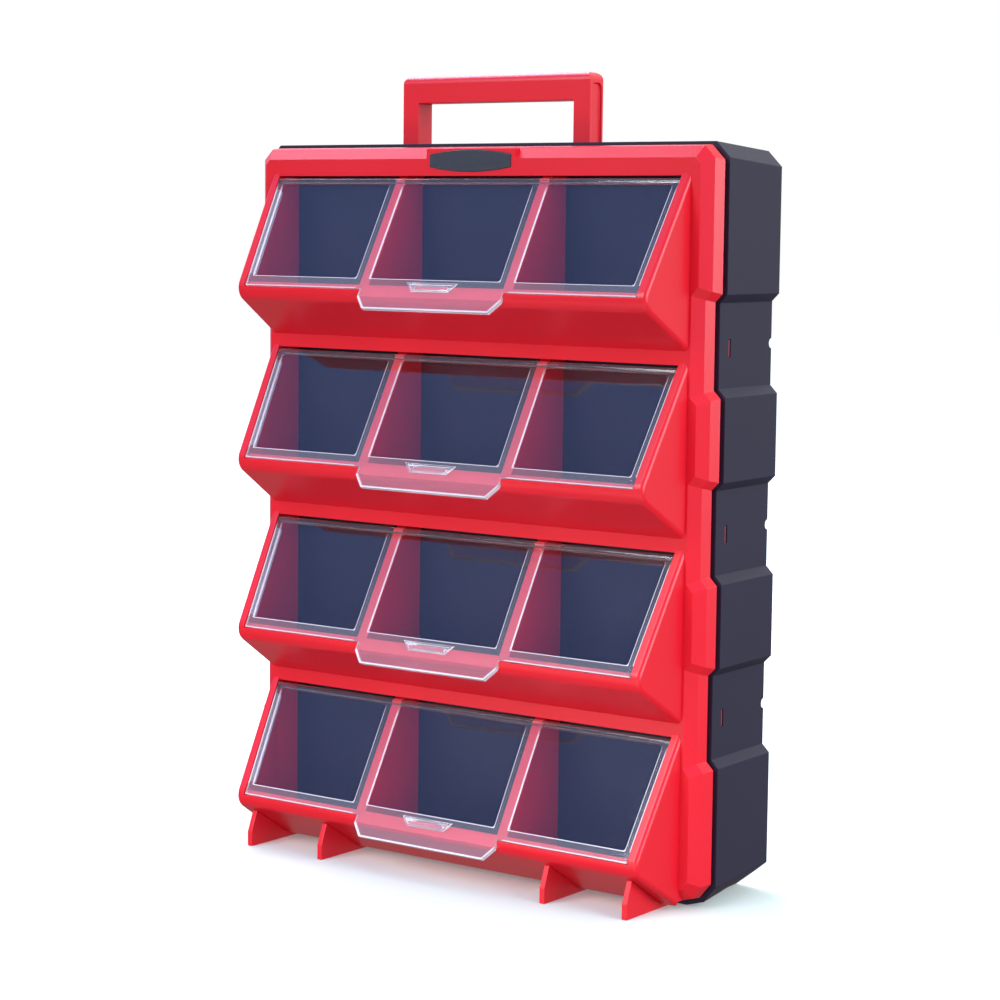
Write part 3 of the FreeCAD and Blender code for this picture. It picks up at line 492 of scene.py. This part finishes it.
# %% Rim of the tab
TAB_END = 79.0 * MM
TAB_CORNER_START = 40.5 * MM
TAB_CORNER_WAY = Vector((6.5, 5.5)).normalized()
RIM_WIDTH = 1.0 * MM
RIM_CORE = 0.8 * RIM_WIDTH
corner_end = Vector((TAB_CORNER_START, TAB_END)).dot(TAB_CORNER_WAY)
tab_share = add_node(
    clear, "ShaderNodeMapRange", {"From Min": LID_END - MM, "From Max": LID_END}, {"Value": down_lid}
)
parts = add_node(clear, "ShaderNodeSeparateXYZ", None, {"Vector": (place, "Object")})
sideways = add_node(clear, MATHS, {"operation": "ABSOLUTE"}, {0: (parts, "X")})
on_tab = add_node(clear, "ShaderNodeCombineXYZ", None, {"X": sideways, "Y": down_lid})
to_corner = add_node(
    clear, "ShaderNodeVectorMath", {"operation": "DOT_PRODUCT", 1: (*TAB_CORNER_WAY, 0.0)},
    {0: on_tab},
)
# Painted highlight along the tab's front edge and its two cut corners.
front_rim_highlight = add_node(
    clear, "ShaderNodeMapRange", {"From Min": TAB_END - RIM_WIDTH, "From Max": TAB_END - RIM_CORE},
    {"Value": down_lid},
)
corner_rim_highlight = add_node(
    clear, "ShaderNodeMapRange",
    {"From Min": corner_end - RIM_WIDTH, "From Max": corner_end - RIM_CORE},
    {"Value": (to_corner, "Value")},
)
either_rim_highlight = add_node(clear, MATHS, {"operation": "MAXIMUM"}, {0: front_rim_highlight, 1: corner_rim_highlight})
tab_rim_highlight = add_node(clear, MATHS, {"operation": "MULTIPLY"}, {0: either_rim_highlight, 1: tab_share})
print("tab rim", RIM_WIDTH / MM, "mm wide")

# %% [markdown]
# ### Painted bright lines around the windows
# The step down into a window is rounded, so it catches light all along the window's border, and so do
# the lid's two sides. These lines of light are painted highlights. A compare node gives one where a
# value lies within some reach of a place, and nought elsewhere, which draws such a line. The borders
# beside the dividers run straight down the slope, and the outer ones lean in with the lid's sides.

# %% Bands on the lid
WINDOW_INNER = 42.1 * MM
WINDOW_OUTER = 50.9 * MM
WINDOW_TOP = 5.0 * MM
WINDOW_FOOT = 61.5 * MM
SIDE_AT_TOP = 129.6 * MM
SIDE_LEAN = 0.0611
SIDE_MARGIN = 3.4 * MM
HALF_LINE = 0.32 * MM
leaning = add_node(clear, MATHS, {"operation": "MULTIPLY", 1: SIDE_LEAN}, {0: down_lid})
upright = add_node(clear, MATHS, {"operation": "ADD"}, {0: sideways, 1: leaning})
from_side = add_node(clear, MATHS, {"operation": "SUBTRACT", 0: SIDE_AT_TOP}, {1: upright})
# Each band: what is measured, the band's middle and its reach to either side.
band_places = {
    "inner": (sideways, WINDOW_INNER, HALF_LINE),
    "outer": (sideways, WINDOW_OUTER, HALF_LINE),
    "margin": (from_side, SIDE_MARGIN, HALF_LINE),
    "side": (from_side, HALF_LINE, HALF_LINE),
    "foot": (down_lid, WINDOW_FOOT, HALF_LINE),
    "beside": (down_lid, (WINDOW_TOP + WINDOW_FOOT) / 2, (WINDOW_FOOT - WINDOW_TOP) / 2),
    "mullion": (sideways, (WINDOW_INNER + WINDOW_OUTER) / 2, (WINDOW_OUTER - WINDOW_INNER) / 2),
}
bands = {}
for name, (source, middle, reach) in band_places.items():
    bands[name] = add_node(clear, MATHS, {"operation": "COMPARE", 1: middle, 2: reach}, {0: source})
print("bands on the lid:", len(bands))

# %% [markdown]
# ### From bands to painted lines
# The bands run over the whole lid, so they are cut to length: the lines down the slope end with the
# windows, and the line at the foot leaves out the bars between the windows and the margins at the
# sides. The lines belong to the outer face, so the back of the sheet is left out too.

# %% Painted bright lines
LINE_HIGHLIGHT_STRENGTH = 0.75
FACE_DEPTH = 1.3 * WINDOW_SINK
down_lines = bands["inner"]
for name in ("outer", "margin", "side"):
    down_lines = add_node(clear, MATHS, {"operation": "MAXIMUM"}, {0: down_lines, 1: bands[name]})
window_sides = add_node(clear, MATHS, {"operation": "MULTIPLY"}, {0: down_lines, 1: bands["beside"]})
off_mullion = add_node(clear, MATHS, {"operation": "SUBTRACT", 0: 1.0}, {1: bands["mullion"]})
off_margin = add_node(clear, MATHS, {"operation": "GREATER_THAN", 1: SIDE_MARGIN}, {0: from_side})
under_window = add_node(clear, MATHS, {"operation": "MULTIPLY"}, {0: off_mullion, 1: off_margin})
window_feet = add_node(clear, MATHS, {"operation": "MULTIPLY"}, {0: bands["foot"], 1: under_window})
all_line_highlights = add_node(clear, MATHS, {"operation": "MAXIMUM"}, {0: window_sides, 1: window_feet})
outer_face = add_node(clear, MATHS, {"operation": "GREATER_THAN", 1: -FACE_DEPTH}, {0: depth})
face_line_highlights = add_node(clear, MATHS, {"operation": "MULTIPLY"}, {0: all_line_highlights, 1: outer_face})
# Painted highlight lines where the rounded window steps and the lid's sides catch light.
painted_line_highlights = add_node(clear, MATHS, {"operation": "MULTIPLY", 1: LINE_HIGHLIGHT_STRENGTH}, {0: face_line_highlights})
edge_and_rim = add_node(clear, MATHS, {"operation": "MAXIMUM"}, {0: painted_edge_highlight, 1: tab_rim_highlight})
highlight_mask = add_node(clear, MATHS, {"operation": "MAXIMUM"}, {0: edge_and_rim, 1: painted_line_highlights})
print("lid shader nodes so far:", len(clear.node_tree.nodes))

# %% [markdown]
# ### The lid's plastic put together
# Where the masks say highlight or haze, the plastic turns from clear to white and a little rougher.
# The painted highlights are weak on the bar at the hinge, which lies in shade, and slightly weaker on
# the tab than on the rest. Glass in Blender blocks the lamps' direct light, which would leave the bins
# black. So for shadow rays alone the lid is a plain grey filter, which lets most of the light through
# the tab to the red under it and a little less into the bins.

# %% Clear plastic: finish
TOP_BAR = 5.0 * MM
TAB_DIMMER = 0.3
THROUGH_WINDOW = 0.55
THROUGH_TAB = 0.68
# Strength of the painted highlights: weak on the bar at the hinge, which lies in shade.
highlight_strength_by_place = add_node(
    clear, "ShaderNodeMapRange",
    {"From Min": TOP_BAR, "From Max": 2 * TOP_BAR, "To Min": 0.06, "To Max": 0.9},
    {"Value": down_lid},
)
tab_shade = add_node(clear, MATHS, {"operation": "MULTIPLY", 1: -TAB_DIMMER}, {0: tab_share})
highlight_strength_on_tab = add_node(clear, MATHS, {"operation": "ADD"}, {0: highlight_strength_by_place, 1: tab_shade})
painted_highlights = add_node(clear, MATHS, {"operation": "MULTIPLY"}, {0: highlight_mask, 1: highlight_strength_on_tab})
# The frame's haze and the painted highlights both whiten the plastic.
haze_and_painted_highlights = add_node(clear, MATHS, {"operation": "MAXIMUM"}, {0: hazy, 1: painted_highlights})
passing = add_node(clear, MATHS, {"operation": "SUBTRACT", 0: 1.0}, {1: haze_and_painted_highlights})
polish = add_node(clear, "ShaderNodeMapRange", {"To Min": 0.03, "To Max": 0.25}, {"Value": haze_and_painted_highlights})
clear_skin = add_node(
    clear, "ShaderNodeBsdfPrincipled", {"Base Color": linear("F7F6FD"), "IOR": 1.57},
    {"Roughness": polish, "Normal": skin, "Transmission Weight": passing},
)
lamp_share = add_node(
    clear, "ShaderNodeMapRange", {"To Min": THROUGH_WINDOW, "To Max": THROUGH_TAB},
    {"Value": tab_share},
)
lamp_light = add_node(clear, "ShaderNodeBsdfTransparent", None, {"Color": lamp_share})
ray = add_node(clear, "ShaderNodeLightPath")
lid_skin = add_node(
    clear, "ShaderNodeMixShader", None, {0: (ray, "Is Shadow Ray"), 1: clear_skin, 2: lamp_light}
)
add_node(clear, "ShaderNodeOutputMaterial", None, {"Surface": lid_skin})
print("material", clear.name, "with", len(clear.node_tree.nodes), "nodes")

# %% [markdown]
# ## Badge plate
# A small plain inlaid plate: foil with a satin lacquer. A flat colour would make it look like a hole
# in the red, so one noise mottles its slate colour and its gloss a little, as on real foil.

# %% Badge lacquer
MOTTLE_MM = 3.0
slate = new_material("slate_lacquered_foil")
place = add_node(slate, "ShaderNodeTexCoord")
mottle = add_node(
    slate, "ShaderNodeTexNoise", {"Scale": per_metre(MOTTLE_MM), "Detail": 3.0},
    {"Vector": (place, "Object")},
)
tone = add_node(
    slate, "ShaderNodeMix", {"data_type": "RGBA", "A": linear("30353F"), "B": linear("383D49")},
    {"Factor": mottle},
)
gloss = add_node(slate, "ShaderNodeMapRange", {"To Min": 0.30, "To Max": 0.42}, {"Value": mottle})
slate_skin = add_node(
    slate, "ShaderNodeBsdfPrincipled", {"IOR": 1.5},
    {"Base Color": (tone, "Result"), "Roughness": gloss},
)
add_node(slate, "ShaderNodeOutputMaterial", None, {"Surface": slate_skin})
print("material", slate.name)

# %% [markdown]
# ## Dress the CAD pieces
# Each CAD piece names its material slot in the record, so the finish follows from the slot. Real
# mouldings have no razor edges: welding the loose triangles and adding a narrow bevel gives an edge
# the thin highlight that the eye expects. Weighted normals let the large faces decide the shading, so
# that they stay flat beside their rounded edges. Blender narrows a whole piece's bevel where one tiny
# edge has no room for it. Letting it overlap instead would fold the mesh. On the case and the handle
# there is more room once the triangles that lie flat together are joined.

# %% Finish and soften each CAD piece
FINISH = {
    "red_plastic": red,
    "grey_plastic": grey,
    "dark_plastic": navy,
    "clear_plastic": clear,
    "badge_plastic": slate,
}
EDGE_MM = {
    "red_plastic": 0.4,
    "grey_plastic": 0.6,
    "dark_plastic": 0.3,
    "clear_plastic": 0.3,
    "badge_plastic": 0.2,
}
JOIN_FLAT_FACES = ["rear_case", "carry_handle"]
FLAT_WITHIN = math.radians(0.5)
EDGE_FROM = math.radians(25.0)
WELD_GAP = 0.002 * MM
slot_of = {part["node"]: part["material_slot"] for part in frame["record"]["subparts"]}

for name, piece in nodes.items():
    slot = slot_of[name]
    piece.data.materials.clear()
    piece.data.materials.append(FINISH[slot])
    weld = piece.modifiers.new("join_triangles", "WELD")
    weld.merge_threshold = WELD_GAP
    if name in JOIN_FLAT_FACES:
        join = piece.modifiers.new("join_flat_faces", "DECIMATE")
        join.decimate_type = "DISSOLVE"
        join.angle_limit = FLAT_WITHIN
    bevel = piece.modifiers.new("soft_edges", "BEVEL")
    bevel.width = EDGE_MM[slot] * MM
    bevel.segments = 3
    bevel.limit_method = "ANGLE"
    bevel.angle_limit = EDGE_FROM
    bevel.use_clamp_overlap = True
    flats = piece.modifiers.new("flat_faces_first", "WEIGHTED_NORMAL")
    flats.weight = 100
    flats.keep_sharp = True
print("dressed", len(nodes), "pieces")

# %% [markdown]
# ## Latch bridges
# Each lid has a low raised frame round its latch slot, wider at the top than at the bottom. Bump in
# the material could fake it from the front, but not from the side, so it is modelled. A cube is pulled
# into that outline, its upper face is inset, and the inset is pushed down until only a thin clear
# skin is left over the slot. It is made lying flat, where faces are easy to pick by their normals, and
# is leaned to the lid's slope afterwards.

# %% One latch bridge, lying flat
BRIDGE_WIDTH = 33.0 * MM
BRIDGE_FOOT_SHARE = 0.72
BRIDGE_LENGTH = 5.2 * MM
BRIDGE_HEIGHT = 0.8 * MM
BRIDGE_WALL = 1.1 * MM
BRIDGE_SINK = 0.1 * MM
BRIDGE_POCKET = 0.5 * MM


def select_faces(piece, direction, agreement=0.9):
    """In edit mode, selects only the faces whose normals agree with a direction."""
    bpy.ops.mesh.select_all(action="DESELECT")
    bpy.ops.object.mode_set(mode="OBJECT")
    for face in piece.data.polygons:
        face.select = face.normal.dot(direction) > agreement
    bpy.ops.object.mode_set(mode="EDIT")


bpy.ops.object.select_all(action="DESELECT")
bpy.ops.mesh.primitive_cube_add(
    size=1.0, location=(0.0, 0.0, BRIDGE_HEIGHT / 2 - BRIDGE_SINK),
    scale=(BRIDGE_WIDTH, BRIDGE_LENGTH, BRIDGE_HEIGHT),
)
bridge = bpy.context.object
bridge.name = "latch_bridge_1"
bpy.ops.object.transform_apply(location=True, rotation=True, scale=True)
bpy.ops.object.mode_set(mode="EDIT")
bpy.ops.mesh.select_mode(type="FACE")
select_faces(bridge, Vector((0.0, -1.0, 0.0)))
bpy.ops.transform.resize(value=(BRIDGE_FOOT_SHARE, 1.0, 1.0), center_override=(0.0, 0.0, 0.0))
select_faces(bridge, Vector((0.0, 0.0, 1.0)))
bpy.ops.mesh.inset(thickness=BRIDGE_WALL)
bpy.ops.mesh.extrude_region_move(TRANSFORM_OT_translate={"value": (0.0, 0.0, -BRIDGE_POCKET)})
bpy.ops.object.mode_set(mode="OBJECT")
print("latch bridge faces:", len(bridge.data.polygons))

# %% [markdown]
# ### Round it and set it on the lid
# A narrow bevel rounds the bridge's edges as the mould does. Then it is leaned to the lid's slope, set
# on the outer face over the slot, and its place is applied to its mesh, so that the lid's material
# reads the right coordinates on it.

# %% Latch bridge on its lid
BRIDGE_ROUNDING = 0.2 * MM
SMOOTH_WITHIN = math.radians(40.0)
SLOT_MIDDLE = 66.1 * MM
rounding = bridge.modifiers.new("rounded_edges", "BEVEL")
rounding.width = BRIDGE_ROUNDING
rounding.segments = 2
bpy.ops.object.modifier_apply(modifier="rounded_edges")
bpy.ops.object.shade_smooth_by_angle(angle=SMOOTH_WITHIN)
bridge.data.materials.append(clear)
bridge.rotation_euler = (math.pi / 2 - LID_TILT, 0.0, 0.0)
bridge.location = (
    hinges["lid_1"] + LID_NORMAL * HINGE_DEPTH + DOWN_SLOPE * (SLOT_MIDDLE - HINGE_DROP)
)
bpy.ops.object.transform_apply(location=True, rotation=True, scale=True)
print("rounded latch bridge faces:", len(bridge.data.polygons))

# %% [markdown]
# ### One for each lid
# The other three are copies with meshes of their own, moved down by the distance between the hinges.
# Each rides on its lid, so that it swings open with it.

# %% Copies for the other lids
bridges = [bridge]
for row in (2, 3, 4):
    copy = bridge.copy()
    copy.data = bridge.data.copy()
    copy.name = "latch_bridge_%d" % row
    bpy.context.collection.objects.link(copy)
    drop = hinges["lid_%d" % row] - hinges["lid_1"]
    copy.data.transform(Matrix.Translation(drop))
    bridges.append(copy)
for row, piece in enumerate(bridges, start=1):
    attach(piece, "lid_%d" % row)
print("latch bridges:", len(bridges))
